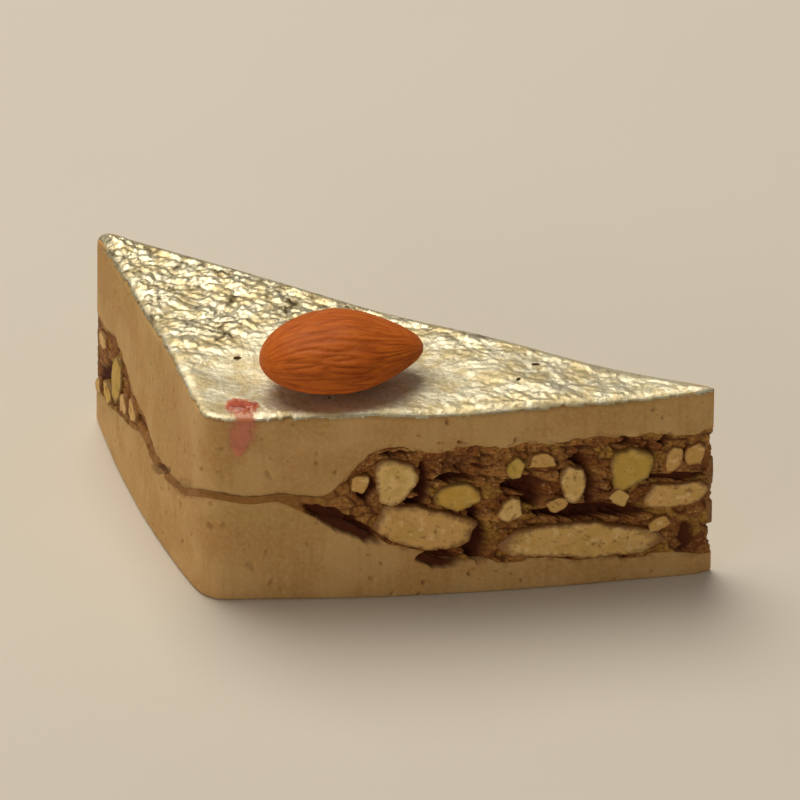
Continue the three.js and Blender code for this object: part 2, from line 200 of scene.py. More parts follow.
def filling_at(x, y):
    """The heights of the filling's lower and upper seam."""
    right, back, _ = shares(x, y)
    below, above = opening(x, y)
    behind, forward = LEFT_CUT * back, FRONT_CUT * right
    dipped = smooth(behind, 0, 9) * (1 - smooth(behind, 15, 22)) * (1 - smooth(forward, 3, 18))
    level = between_corners(FILLING_LEVEL, x, y) - LEFT_DIP * dipped
    level += PINCH_WAVE * (1 - above) * ripple(x, y, 0.9)
    reach_up = PINCHED + (between_corners(REACH_UP, x, y) - PINCHED) * above
    reach_down = PINCHED + (between_corners(REACH_DOWN, x, y) - PINCHED) * below
    low = level - reach_down + SEAM_WAVE * below * ripple(x, y, 0.4)
    high = level + reach_up + SEAM_WAVE * above * ripple(x, y, 1.9)
    return low, high


def top_at(x, y):
    return THICKNESS + TOP_WAVE * ripple(0.35 * x, 0.35 * y, 2.6) - TOP_WAVE


def flared(points):
    """The left side leans out towards its base."""
    right, back, corner = shares(points[:, 0], points[:, 1])
    beside = 4 * np.maximum(back, 0) * np.maximum(corner, 0) * (1 - right) ** 2
    lean = LEFT_LEAN * beside * (1 - points[:, 2] / THICKNESS)
    return points + lean[:, None] * np.append(LEFT.out, 0)


TIPS = np.array([FRONT.last, LONG.first, LONG.last, LEFT.first])
to_tip = np.linalg.norm(OUTLINE[:, None] - TIPS, axis=2).min(axis=1)
TIP_EASE = 0.3 + 0.7 * smooth(to_tip, 0, 9)  # how much of an inset is made near the sharp tips
seam_low, seam_high = filling_at(*OUTLINE.T)
print("seams in mm:", seam_low.min().round(1), seam_low.max().round(1),
      seam_high.min().round(1), seam_high.max().round(1))

# %% [markdown]
# ## Unevenness
#
# Nothing on a sweet made by hand is flat, so every mesh below is pushed about by two kinds of noise.
# Gradient noise gives soft lumps of one size. The other kind scatters points and gives each its own
# cell, with straight borders: chopped nuts and crumpled leaf both break up like that. Blender has
# displacement textures for this, but noise worked out here can follow a direction, keep out of a
# place or store what it found for the finish. The random numbers come from one fixed seed.

# %% Lumps
dice = np.random.default_rng(20)
SHUFFLED = np.tile(dice.permutation(256), 3)
SLOPES = dice.normal(size=(256, 3))
SLOPES /= np.linalg.norm(SLOPES, axis=1)[:, None]


def lumps(points, size, seed=0):
    """Soft noise from about -1 to 1, in lumps of this size, which may differ along x, y and z."""
    scaled = points / np.asarray(size, float) + 19.7 * seed
    cell = np.floor(scaled).astype(int)
    t = scaled - cell
    fade = t**3 * (t * (6 * t - 15) + 10)
    cell = cell & 255
    total = np.zeros(len(points))
    for corner in itertools.product((0, 1), repeat=3):
        place = SHUFFLED[cell[:, 0] + corner[0]] + cell[:, 1] + corner[1]
        place = SHUFFLED[SHUFFLED[place] + cell[:, 2] + corner[2]]
        weight = np.prod(np.where(corner, fade, 1 - fade), axis=1)
        total += weight * np.sum(SLOPES[place] * (t - np.array(corner)), axis=1)
    return 1.7 * total


def laid_flat(x, y):
    """Places on the flat, for noise."""
    return np.column_stack([x, y, np.zeros_like(x)])


sample = np.random.default_rng(1).uniform(0, 60, (4000, 3))
print("lumps reach", lumps(sample, 3).min().round(2), "to", lumps(sample, 3).max().round(2))

# %% Broken bits
BITS = dice.random((256, 6))


def broken(u, v, size, seed=0):
    """Cells of this size over a flat map: how far each place is from its cell's border, and the
    cell's own tone, level and lean."""
    u, v = u / size[0] + 17.3 * seed, v / size[1] + 5.9 * seed
    cell_u, cell_v = np.floor(u).astype(int), np.floor(v).astype(int)
    nearest, second = np.full(u.shape, 9.0), np.full(u.shape, 9.0)
    which, side_u, side_v = np.zeros(u.shape, int), np.zeros(u.shape), np.zeros(u.shape)
    for step_u, step_v in itertools.product((-1, 0, 1), repeat=2):
        number = SHUFFLED[SHUFFLED[(cell_u + step_u) & 255] + ((cell_v + step_v) & 255)]
        to_u = cell_u + step_u + 0.1 + 0.8 * BITS[number, 0] - u
        to_v = cell_v + step_v + 0.1 + 0.8 * BITS[number, 1] - v
        away = np.hypot(to_u, to_v)
        closer = away < nearest
        second = np.where(closer, nearest, np.minimum(second, away))
        nearest = np.where(closer, away, nearest)
        which, side_u, side_v = (np.where(closer, new, old) for new, old in
                                 ((number, which), (to_u, side_u), (to_v, side_v)))
    lean = (BITS[which, 4] - 0.5) * side_u * size[0] + (BITS[which, 5] - 0.5) * side_v * size[1]
    return SimpleNamespace(edge=(second - nearest) * min(size), tone=BITS[which, 2],
                           level=BITS[which, 3], lean=lean)


tried = broken(sample[:, 0], sample[:, 1], (2, 2))
print("cells of 2 mm: the border is up to", tried.edge.max().round(2), "mm away")


# %% [markdown]
# ## From points to meshes
#
# Two helpers make nearly every piece. One lofts a closed skin through rings with the same number of
# points, which suits layers, nuts and the almond. The other turns a map of cells into a thin sheet
# with an upper and a lower face and a rim between them, which suits the leaf and the wet dab, whose
# edges are ragged. Both give closed bodies, so that light can soak into them. Values that a finish
# needs, such as how near a seam a point lies, are stored with the points.


# %% Lofted bodies and thin sheets
def placed(name, data):
    """An object in the scene for a mesh, a lamp or a camera."""
    made = bpy.data.objects.new(name, data)
    bpy.context.collection.objects.link(made)
    return made


def piece(name, points, faces, **stored):
    """A mesh object at its place, in metres, with named values on its points."""
    corners = np.clip((points + CORNER_PLACE) * MM, *np.array(SOLIDS_BOX))
    mesh = bpy.data.meshes.new(name)
    mesh.from_pydata(corners.tolist(), [], faces)
    mesh.shade_smooth()
    for key, values in stored.items():
        mesh.attributes.new(key, "FLOAT", "POINT").data.foreach_set("value", values.astype(np.float32))
    made = placed(name, mesh)
    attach(made, "root")
    print(f"{name}: {sum(len(face) - 2 for face in faces)} triangles,",
          f"z {points[:, 2].min():.2f} to {points[:, 2].max():.2f} mm")
    return made


def lofted(rings, start=0):
    """Faces through rings of points, closed by a fan at both ends. The two middle points come last."""
    count, around = rings.shape[:2]
    turn = np.arange(around)
    after = (turn + 1) % around
    faces = []
    for number in range(count - 1):
        here = start + number * around
        quads = np.stack([here + turn, here + after, here + around + after, here + around + turn], 1)
        faces += quads.tolist()
    first, last = start + count * around, start + count * around + 1
    end = start + (count - 1) * around
    faces += np.stack([np.full(around, first), start + after, start + turn], 1).tolist()
    faces += np.stack([np.full(around, last), end + turn, end + after], 1).tolist()
    ends = np.stack([rings[0].mean(0), rings[-1].mean(0)])
    return np.vstack([rings.reshape(-1, 3), ends]), faces


def sheet(under, over, good):
    """A closed thin body over a grid of points, in the cells whose four corners are all good."""
    kept = good[:-1, :-1] & good[1:, :-1] & good[1:, 1:] & good[:-1, 1:]
    index = np.arange(good.size).reshape(good.shape)
    quads = np.stack([index[:-1, :-1], index[1:, :-1], index[1:, 1:], index[:-1, 1:]], axis=-1)[kept]
    edges = np.concatenate([quads[:, [k, (k + 1) % 4]] for k in range(4)])
    key = edges[:, 0] * index.size + edges[:, 1]
    back = edges[:, 1] * index.size + edges[:, 0]
    rim = edges[~np.isin(key, back)]
    used, small = np.unique(quads, return_inverse=True)
    quads = small.reshape(quads.shape)
    rim = np.searchsorted(used, rim)
    shift = len(used)
    faces = quads.tolist() + (quads[:, ::-1] + shift).tolist()
    faces += np.stack([rim[:, 0], rim[:, 0] + shift, rim[:, 1] + shift, rim[:, 1]], 1).tolist()
    points = np.vstack([over.reshape(-1, 3)[used], under.reshape(-1, 3)[used]])
    return points, faces, used


def grid(first_line, second_line):
    """The points of a grid, one after another."""
    return (lines.ravel() for lines in np.meshgrid(first_line, second_line, indexing="ij"))


# %% [markdown]
# ## Where the nuts and the hollows lie
#
# The filling was spread as a thick mass of chopped nuts bound with dark sticky paste. The knife has
# gone through the nuts, so they show as flat faces on the cut, and between them are hollows where
# only the paste shows. On the front and the left cut each nut and each hollow that stands out has
# its own place and size. On the long cut, nuts of falling size are tried at random places and stay
# where they have room, the same way and with the same numbers as the solids, so both agree. The
# colour of a cashew goes from toasted at 0 to whitish at 1, and of a pistachio from yellow to green.

# %% The nuts on the front and the left cut
# Distance from the square corner, height, length, height on the cut, tilt, kind and colour.
FRONT_NUTS = [
    (21.9, 16.7, 6.2, 4.9, 80, "cashew", 0.95),
    (25.2, 9.9, 12.6, 5.2, -17, "cashew", 0.5),
    (29.4, 14.0, 5.4, 3.5, 4, "pistachio", 0.3),
    (35.3, 11.7, 3.2, 2.6, 50, "cashew", 0.8),
    (44.0, 6.5, 18.6, 4.7, -2, "cashew", 0.65),
    (42.6, 14.8, 5.6, 2.7, -82, "cashew", 0.95),
    (49.3, 16.3, 6.2, 4.7, 70, "pistachio", 0.5),
    (48.1, 12.3, 2.5, 2.0, -30, "cashew", 0.85),
    (54.8, 12.1, 8.0, 3.3, 2, "cashew", 0.5),
    (54.5, 17.0, 3.4, 2.0, 85, "cashew", 0.35),
    (57.0, 17.4, 3.2, 2.2, 80, "cashew", 0.25),
    (40.8, 12.1, 2.4, 1.9, 20, "cashew", 0.35),
    (52.9, 8.0, 2.6, 1.8, 12, "cashew", 0.3),
    (17.7, 16.6, 2.6, 2.0, 70, "cashew", 0.4),
    (35.9, 17.6, 3.2, 2.0, 80, "pistachio", 0.7),
    (39.0, 18.4, 3.2, 2.0, 8, "cashew", 0.4),
]
LEFT_NUTS = [
    (31.2, 11.4, 6.0, 3.2, 82, "pistachio", 0.6),
    (34.4, 7.4, 3.4, 2.6, 10, "pistachio", 0.2),
    (28.0, 10.0, 2.8, 2.4, 30, "cashew", 0.5),
    (24.6, 11.2, 2.8, 2.2, -20, "cashew", 0.4),
    (37.2, 13.0, 3.2, 2.0, 8, "cashew", 0.6),
    (38.6, 5.6, 2.6, 2.0, 60, "cashew", 0.5),
]

# %% The dark hollows
# Distance from the square corner, height, length, height on the cut, tilt and darkness, which sets how
# deep a hollow goes and how dark it is painted: dark paste with painted shade over it.
FRONT_HOLLOWS = [
    (18.8, 15.8, 2.6, 3.2, 0, 1.0),
    (25.8, 15.8, 1.7, 5.6, 0, 1.0),
    (24.8, 13.3, 2.8, 1.3, 0, 0.9),
    (29.5, 16.5, 5.4, 1.0, 0, 0.9),
    (29.5, 18.6, 3.2, 2.4, 0, 0.4),
    (32.0, 9.6, 1.6, 9.4, 0, 0.9),
    (32.1, 7.7, 2.9, 5.4, 0, 1.0),
    (16.0, 10.7, 9.6, 2.2, -32, 1.0),
    (27.5, 5.2, 5.4, 2.2, -4, 1.0),
    (38.0, 15.0, 4.8, 2.2, 0, 0.9),
    (39.3, 13.3, 2.4, 2.8, 0, 0.8),
    (37.3, 12.6, 2.6, 1.4, 0, 0.8),
    (45.6, 15.0, 2.3, 7.8, 14, 1.0),
    (46.5, 10.3, 12.8, 1.9, -4, 1.0),
    (55.5, 14.4, 7.0, 0.9, -2, 0.9),
    (50.4, 20.0, 2.2, 1.2, 0, 0.8),
    (54.4, 19.8, 1.2, 1.7, 0, 0.8),
    (52.8, 17.4, 1.0, 4.6, 0, 0.6),
    (57.0, 5.8, 4.6, 5.6, 0, 0.25),
    (56.8, 5.6, 1.4, 4.4, 0, 0.7),
    (22.5, 20.4, 4.6, 0.6, 0, 0.6),
]
LEFT_HOLLOWS = [
    (35.6, 8.9, 8.0, 3.4, -42, 1.0),
    (14.2, 9.8, 6.4, 1.4, -32, 0.45),
    (7.0, 11.8, 6.0, 2.2, -40, 0.2),
    (22.0, 11.5, 4.2, 1.3, -10, 0.4),
]
BY_THE_CUT = 1.2  # a point this near the straight line of a cut belongs to it
ON_FRONT = (OUTLINE[:, 1] < BY_THE_CUT) & (OUTLINE[:, 0] > BY_THE_CUT)
ON_LEFT = (OUTLINE @ LEFT.out > -BY_THE_CUT) & (OUTLINE[:, 1] > 0.5)


def inside_spots(spots, along, up):
    """How dark the listed spots make each place of a cut: 0 outside them all."""
    found = np.zeros(np.shape(along))
    for at, height, long, tall, degrees, dark in spots:
        turn = math.radians(degrees)
        across = (along - at) * math.cos(turn) + (up - height) * math.sin(turn)
        upward = (up - height) * math.cos(turn) - (along - at) * math.sin(turn)
        away = np.hypot(across / (long / 2), upward / (tall / 2))
        found = np.maximum(found, dark * (1 - smooth(away, 0.85, 1.25)))
    return found


def hollow_at(row):
    """How much of a hollow each point of a ring is. On the long cut the hollows are winding gaps."""
    ragged_along = row[:, 0] + 0.45 * lumps(row, 1.3, 21)
    ragged_away = -row[:, :2] @ LEFT.along + 0.5 * lumps(row, 1.6, 22)
    ragged_up = row[:, 2] + 0.4 * lumps(row, 1.3, 23)
    gaps = broken(RUN + 1.2 * lumps(row, 3.5, 24), ragged_up, (6.5, 3.6), 5)
    low, high = filling_at(*OUTLINE.T)
    between_seams = smooth(row[:, 2], low, low + 0.8) * (1 - smooth(row[:, 2], high - 0.8, high))
    winding = (1 - smooth(gaps.edge, 0.1, 0.75)) * (0.35 + 0.65 * gaps.tone) * between_seams
    dark = np.where(ON_LEFT, inside_spots(LEFT_HOLLOWS, ragged_away, ragged_up), winding)
    return np.where(ON_FRONT, inside_spots(FRONT_HOLLOWS, ragged_along, ragged_up), dark)


print("columns on the front, left and long cut:", ON_FRONT.sum(), ON_LEFT.sum(),
      (~ON_FRONT & ~ON_LEFT).sum())


# %% The nuts on the long cut
NUT_FROM_TIP = 3.5
NUT_SIZES = [(12, 4.2, 30), (8.5, 4.8, 60), (6, 4.2, 110), (4.4, 3.2, 150), (3, 2.3, 150)]  # and tries
NUT_GAP = 0.55
DRAW_STEP, DRAW_END = 48271, 2147483647


def tried_nuts():
    """Nuts found by the same draws as in the solids."""
    state = 20

    def draw():
        nonlocal state
        state = state * DRAW_STEP % DRAW_END
        return state / DRAW_END

    found = []
    for usual_long, usual_tall, tries in NUT_SIZES:
        for _ in range(tries):
            along = LONG.off + NUT_FROM_TIP + draw() * (LONG.length - 2 * NUT_FROM_TIP)
            rise = draw()
            long, tall = usual_long * (0.8 + 0.4 * draw()), usual_tall * (0.85 + 0.3 * draw())
            lean = draw() - 0.5
            tilt = lean * (2.6 if draw() < 0.3 else 0.9)
            sunk = draw()
            x, y = on_cut(LONG, along)
            low, high = filling_at(x, y)
            room = high - low - 0.7 * tall
            nut = SimpleNamespace(side=LONG, along=along, up=low + 0.35 * tall + rise * room,
                                  long=long, tall=tall, tilt=tilt, sunk=sunk)
            if room > 0 and all(clear_of(nut, other) for other in found):
                found.append(nut)
    return found


def on_cut(side, along, out=0.0):
    """A point on a cut, seen from above, at a distance along it, or some way out of it."""
    share = np.clip((along - side.off) / side.length, 0, 1)
    bulge = 4 * side.bow * share * (1 - share) + out
    x = side.start[0] + side.along[0] * along + side.out[0] * bulge
    y = side.start[1] + side.along[1] * along + side.out[1] * bulge
    return x, y


def circles(nut):
    """A nut's outline on the cut, as three circles in a row."""
    reach = (nut.long - nut.tall) / 2
    return [(nut.along + k * reach * math.cos(nut.tilt), nut.up + k * reach * math.sin(nut.tilt))
            for k in (-1, 0, 1)]


def clear_of(nut, other):
    apart = (nut.tall + other.tall) / 2 + NUT_GAP
    return all(math.dist(a, b) > apart for a in circles(nut) for b in circles(other))


# %% All the nuts together
def all_nuts():
    made = []
    for side, listed in ((FRONT, FRONT_NUTS), (LEFT, LEFT_NUTS)):
        for away, up, long, tall, degrees, kind, colour in listed:
            along = away if side is FRONT else LEFT_CUT - away
            made.append(SimpleNamespace(
                side=side, along=along, up=up, long=long, tall=tall,
                tilt=math.radians(degrees), sunk=0.2, kind=kind, colour=colour))
    mixed = np.random.default_rng(11)
    for nut in tried_nuts():
        nut.kind = "pistachio" if mixed.random() < 0.34 and nut.long < 9.5 else "cashew"
        nut.colour = mixed.random()
        made.append(nut)
    return made


nuts = all_nuts()
for kind in ("cashew", "pistachio"):
    print(kind, "pieces on the cuts:", sum(nut.kind == kind for nut in nuts))

# %% [markdown]
# ## The two cashew layers
#
# Cashew paste cooked with sugar sets to a fine, slightly waxy fudge. A knife leaves its cut side
# almost smooth, with a few drag marks from top to bottom, small pits where a grain came away, and a
# soft edge at the top. Each layer is a skin of rings round the outline: over the base, up the side
# and in again over the seam. The side is pushed in here and there, never out, so that the piece
# keeps its size. Where a hollow of the filling reaches a layer, the layer is eaten away too.


# %% A ring of the layers, and the relief of a cut side
def ring(height, share=1.0, inside=0.0):
    """Points round the outline, at a share of its size or a distance inside it."""
    size = share * (1 - TIP_EASE * inside / INRADIUS)
    flat = MIDDLE + (OUTLINE - MIDDLE) * size[:, None]
    level = height(flat[:, 0], flat[:, 1]) if callable(height) else np.full(COLUMNS, float(height))
    return np.column_stack([flat, level])


def pushed_in(ring_points, depth):
    moved = ring_points.copy()
    moved[:, :2] -= (moved[:, :2] - MIDDLE) * (TIP_EASE * depth / INRADIUS)[:, None]
    return moved


# Long waves, drag marks and grain of a cut side: the depth and the size of each.
CUT_MARKS = ((0.07, 9), (0.03, (0.7, 0.7, 9)), (0.02, 0.45))
PIT_DEPTH = 0.35
FAR = 9.0  # a distance at which a seam no longer shows


def knife_relief(points, seam=FAR):
    """How deep a cut side lies behind the clean cut. The seam's distance makes its edge crumble."""
    marks = sum(depth * (1 + lumps(points, size, seed))
                for seed, (depth, size) in enumerate(CUT_MARKS, 1))
    pits = PIT_DEPTH * smooth(lumps(points, 1.1, 4), 0.62, 0.85)
    crumble = (0.12 + 0.22 * lumps(points, 1.4, 6)) * np.exp(-np.maximum(seam, 0) / 0.3)
    return marks + pits + np.maximum(crumble, 0)


def seam_line(which):
    """A seam as a knife leaves it: its own level with a ragged edge, pressed shut in the pinch."""
    def level(x, y):
        ragged = 0.16 * lumps(laid_flat(x, y), 1.7, 7 + which)
        shut = 0.26 * (1 - opening(x, y)[which])
        return filling_at(x, y)[which] + ragged + (shut if which == 0 else -shut)
    return level


WALL_ROWS = 60
INNER_SHARES = (0.9, 0.84, 0.74, 0.6, 0.4, 0.2)  # the rings inside a face, as shares of its size
EATEN = 0.5  # how deep a hollow eats into a layer
CROWDED = 1.3  # above 1, the rows of a cut side crowd towards its seam, where it crumbles
seams = [ring(seam_line(which))[:, 2] for which in (0, 1)]


# %% The rows of a layer, and a layer made of them
def inner_rings(height):
    return [ring(height, share) for share in INNER_SHARES]


def plain(rows, distance):
    """Rows without hollows, each with this distance from the seam."""
    return [(row, np.full(COLUMNS, distance), np.zeros(COLUMNS)) for row in rows]


def wall_rows(lower, upper, seam_is_up):
    """Rows of a cut side between two levels, each with its distance from the seam and its hollows."""
    made = []
    for share in np.linspace(0, 1, WALL_ROWS):
        eased = 1 - (1 - share) ** CROWDED if seam_is_up else share**CROWDED
        row = ring(0)
        row[:, 2] = lower + (upper - lower) * eased
        distance = np.abs((upper if seam_is_up else lower) - row[:, 2])
        # how much of a hollow each point is, kept for the finish, which paints it as dark paste with
        # painted shade
        hollow = hollow_at(row) * (1 - smooth(distance, 1.2, 2.6))
        made.append((pushed_in(row, knife_relief(row, distance) + EATEN * hollow), distance, hollow))
    return made


def layer_piece(name, rows):
    rings, seam, stain = zip(*rows)
    points, faces = lofted(np.array(rings))
    seam, stain = (np.concatenate([*values, values[0][:1], values[-1][:1]])
                   for values in (seam, stain))
    made = piece(name, flared(points), faces, seam=seam, stain=stain)
    return made


# %% The lower layer
BASE_ROUND = 0.5


def lower_layer():
    base = inner_rings(0)[::-1]
    rounded = []
    for angle in np.linspace(0, math.pi / 2, 5)[:-1]:
        inside = BASE_ROUND * (1 - math.sin(angle))
        row = ring(BASE_ROUND * (1 - math.cos(angle)), inside=inside)
        rounded.append(pushed_in(row, knife_relief(row)))
    wall = wall_rows(BASE_ROUND, seams[0], seam_is_up=True)
    return layer_piece("lower_cashew", plain(base + rounded, FAR) + wall
                       + plain(inner_rings(seam_line(0)), 0.0))


lower_cashew = lower_layer()
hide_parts("bottom_layer")

# %% The upper layer, with its soft top edge
EDGE_ROUND = 0.9


def upper_layer():
    underside = inner_rings(seam_line(1))[::-1]
    shoulder = top_at(*OUTLINE.T) - EDGE_ROUND
    wall = wall_rows(seams[1], shoulder, seam_is_up=False)
    rounded = []
    for angle in np.linspace(0, math.pi / 2, 7)[1:]:
        row = ring(top_at, inside=EDGE_ROUND * (1 - math.cos(angle)))
        row[:, 2] -= EDGE_ROUND * (1 - math.sin(angle))
        rounded.append(pushed_in(row, knife_relief(row) * math.cos(angle)))
    return layer_piece("upper_cashew", plain(underside, 0.0) + wall
                       + plain(rounded + inner_rings(top_at), FAR))


upper_cashew = upper_layer()
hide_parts("top_layer")

# %% [markdown]
# ## The filling's mass
#
# Between the larger nuts lies a mass of nut crumbs stuck together with dates cooked down in sugar.
# Separate crumbs would look like gravel, because the real ones are pressed together and cut through.
# So the mass is one lofted body between the seams, whose cut side is broken into cells: each cell is
# a bit of nut with its own depth, lean and tone, and the paste shows as dark lines between them and
# in the hollows, which go deeper and are painted darker still, as painted shade.


# %% The broken side of the filling
PASTE_ROWS = 84
BIT_SIZE, CRUMB_SIZE = (2.3, 1.6), (0.95, 0.8)
HOLLOW_DEPTH = 0.75  # and a little more where the filling has opened out


def broken_side(row, opened, from_seam):
    """How deep each point of a row lies behind the cut, and what its finish wants to know."""
    bent_run = RUN + 0.5 * lumps(row, 2.0, 31)
    bent_up = row[:, 2] + 0.4 * lumps(row, 2.0, 32)
    bits, crumbs = broken(bent_run, bent_up, BIT_SIZE, 3), broken(bent_run, bent_up, CRUMB_SIZE, 4)
    groove = (1 - smooth(bits.edge, 0.08, 0.42)) * smooth(lumps(row, 3, 33), -0.7, 0.3)
    small_groove = 1 - smooth(crumbs.edge, 0.03, 0.25)
    rough = 0.26 * bits.level + 0.4 * bits.lean + 0.3 * groove + 0.24 * crumbs.level
    rough += 0.2 * small_groove + 0.3 * crumbs.lean
    hollow = hollow_at(row)
    depth = 0.05 + HOLLOW_DEPTH * hollow
    depth += opened * (0.13 + 0.6 * (0.3 + 0.7 * from_seam) * rough + 0.15 * hollow)
    told = (hollow, np.maximum(groove, 0.45 * small_groove), bits.tone, crumbs.tone)
    return np.maximum(depth, 0.05), told


def paste_body():
    low, high = filling_at(*OUTLINE.T)
    opened = np.sqrt(np.clip(sum(opening(*OUTLINE.T)) / 2, 0, 1))
    rings, told = [], []
    for share in np.linspace(-0.01, 1.01, PASTE_ROWS):
        row = ring(0)
        row[:, 2] = low + (high - low) * share
        from_seam = smooth(np.minimum(share, 1 - share) * (high - low), 0, 0.7)
        depth, known = broken_side(row, opened, from_seam)
        rings.append(pushed_in(row, depth))
        told.append(known)
    core = inner_rings(lambda x, y: filling_at(x, y)[0])[:0:-1]
    lid = inner_rings(lambda x, y: filling_at(x, y)[1])[1:]
    points, faces = lofted(np.array(core + rings + lid))
    stored = {"opened": np.append(np.tile(opened, len(core) + PASTE_ROWS + len(lid)), [1, 1])}
    for key, values in zip(("hollow", "groove", "bit_tone", "crumb_tone"), zip(*told)):
        stored[key] = np.concatenate([np.zeros(COLUMNS * len(core)), *values,
                                      np.zeros(COLUMNS * len(lid) + 2)])
    made = piece("sticky_paste", flared(points), faces, **stored)
    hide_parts("filling")
    return made


sticky_paste = paste_body()

# %% [markdown]
# ## The chopped nuts
#
# A cut nut shows a flat face with a slightly rounded rim, and its body goes back into the paste. A
# squashed sphere would look like a pebble and not like something chopped. So each nut is lofted from
# rings that follow its outline on the cut: nine over the flat face, two round the rim and three
# going back. The outline is a rounded oblong with straight chips off it where the chopping knife
# went, bent a little for a cashew. All the nuts of a kind are joined into one mesh.

# %% One nut
PROUD = 0.22  # how far the cut nuts may stand out
SET_BACK, SUNK = 0.06, 0.12  # how far all of them lie behind that, and the deepest ones further
TIP_DEPTH = 0.24  # how deep a nut's body goes at most, as a share of the way to the sharp tip
FACE_RINGS = (0.12, 0.26, 0.4, 0.54, 0.66, 0.77, 0.86, 0.93, 0.98)
BACK_RINGS = ((1.02, 0.12), (1.04, 0.4), (1.0, 0.9), (0.86, 1.9), (0.5, 2.8))


def nearest_cut(flat):
    """For points seen from above: how far outside the outline each lies, and the way out."""
    away, out = np.empty(len(flat)), np.empty((len(flat), 2))
    for start in range(0, len(flat), 4000):
        some = flat[start:start + 4000]
        distances = np.linalg.norm(some[:, None] - OUTLINE[None], axis=2)
        best = distances.argmin(axis=1)
        out[start:start + 4000] = OUTWARDS[best]
        away[start:start + 4000] = np.sum((some - OUTLINE[best]) * OUTWARDS[best], axis=1)
    return away, out


def chipped_outline(nut, seed, angle):
    """The distance of the nut's outline from its middle, in each direction."""
    half_long, half_tall = 0.53 * nut.long, 0.53 * nut.tall
    blunt = 2.8 if nut.kind == "cashew" else 2.3
    reach = np.abs(np.cos(angle) / half_long) ** blunt + np.abs(np.sin(angle) / half_tall) ** blunt
    reach = reach ** (-1 / blunt)
    chips = np.random.default_rng(100 + seed)
    for _ in range(7):
        way = chips.uniform(0, 2 * math.pi)
        widest = math.hypot(half_long * math.cos(way), half_tall * math.sin(way))
        facing = np.cos(angle - way)
        left = chips.uniform(0.8, 1.02) * widest
        reach = np.where(facing > 0.05, np.minimum(reach, left / np.maximum(facing, 0.05)), reach)
    circle = np.column_stack([np.cos(angle), np.sin(angle), np.full(len(angle), seed * 0.37)])
    return reach * (1 + 0.06 * lumps(circle, 0.7, 40) + 0.05 * lumps(circle, 0.22, 41))


def nut_rings(nut, seed):
    around = int(np.clip(24 + 6 * nut.long, 36, 110))
    angle = np.linspace(0, 2 * math.pi, around, endpoint=False)
    reach = chipped_outline(nut, seed, angle)
    bend = 0.16 * nut.tall * math.sin(seed * 2.4) if nut.kind == "cashew" else 0
    rings, rims = [], []
    for share, back in [(face, 0.0) for face in FACE_RINGS] + list(BACK_RINGS):
        u, v = share * reach * np.cos(angle), share * reach * np.sin(angle)
        v = v + bend * ((2 * u / nut.long) ** 2 - 0.4)
        rings.append(np.column_stack([u, v, np.full(around, -back)]))
        rims.append(np.full(around, share if back == 0 else 1 + back))
    return np.array(rings), np.concatenate(rims)


# %% The nuts of a kind, as one mesh
def nut_mesh(kind):
    points, faces = [], []
    told = {"colour": [], "rim": [], "cleft": []}
    count = 0
    for seed, nut in enumerate(nuts):
        if nut.kind != kind:
            continue
        rings, rim = nut_rings(nut, seed)
        local, made = lofted(rings, count)
        u, v, w = local.T
        own = local + 3.1 * seed
        grain = 0.04 * lumps(own, 0.8, 42) + 0.07 * lumps(own, 2.6, 43) + 0.025 * lumps(own, 0.4, 44)
        chip = broken(u + 7.7 * seed, v, (2.6, 1.7), 9)
        grain -= 0.06 * chip.level + 0.09 * chip.lean
        w = w + np.where(w > -0.2, grain, 0.6 * grain)
        along = nut.along + u * math.cos(nut.tilt) - v * math.sin(nut.tilt)
        up = nut.up + u * math.sin(nut.tilt) + v * math.cos(nut.tilt)
        spot = np.column_stack(on_cut(nut.side, along))
        to_sharp_tip = np.linalg.norm(spot[:, None] - [RIGHT_TIP, BACK_TIP], axis=2).min(axis=1)
        w = np.maximum(w + PROUD - SET_BACK - SUNK * nut.sunk, -TIP_DEPTH * to_sharp_tip)
        x, y = on_cut(nut.side, along, w)
        points.append(np.column_stack([x, y, up]))
        faces += made
        told["colour"].append(np.full(len(local), nut.colour))
        told["rim"].append(np.append(rim, [0, 9]))
        told["cleft"].append(np.abs(v + 0.15 * nut.tall * np.sin(u * 0.8 + seed)) / (0.5 * nut.tall))
        count += len(local)
    points = np.concatenate(points)
    low, high = filling_at(points[:, 0], points[:, 1])
    points[:, 2] = np.clip(points[:, 2], low + 0.05, high - 0.05)
    away, out = nearest_cut(points[:, :2])
    points[:, :2] -= out * np.maximum(away - PROUD, 0)[:, None]
    told = {key: np.concatenate(values) for key, values in told.items()}
    made = piece(f"chopped_{kind}", flared(points), faces, **told)
    return made


chopped_cashew = nut_mesh("cashew")
chopped_pistachio = nut_mesh("pistachio")

# %% [markdown]
# ## The silver leaf
#
# Silver beaten thinner than paper is laid on the sweet from its tissue. It clings, crumples and
# tears: near the square corner it lies almost flat, and further back it is full of sharp creases. A
# cloth simulation would give soft folds, while leaf breaks into small flat facets. So its relief is
# made of broken cells in four sizes, drawn out along the long cut as its creases are, and stronger
# towards the back. Under the almond it is pressed flat. The leaf is a sheet over a fine grid, with a
# torn rim and a few small holes where cells are left out.

# %% The leaf's relief
LEAF_CELL = 0.195
LEAF_THICK = 0.08
ALMOND_SPOT = np.array([16.4, 6.6])
FACETS = (((7.5, 3.4), 0.34), ((3.3, 1.7), 0.3), ((1.5, 0.95), 0.26), ((0.8, 0.6), 0.16))


def crumple_share(x, y, spots):
    """How crumpled the leaf is: little near the corner and the front, much at the back."""
    towards_back = 0.24 + 0.7 * smooth(y, 9, 24) + 0.22 * smooth(x, 26, 42)
    towards_back += 0.3 * lumps(spots, 9, 64)
    return np.clip(towards_back, 0.14, 1)


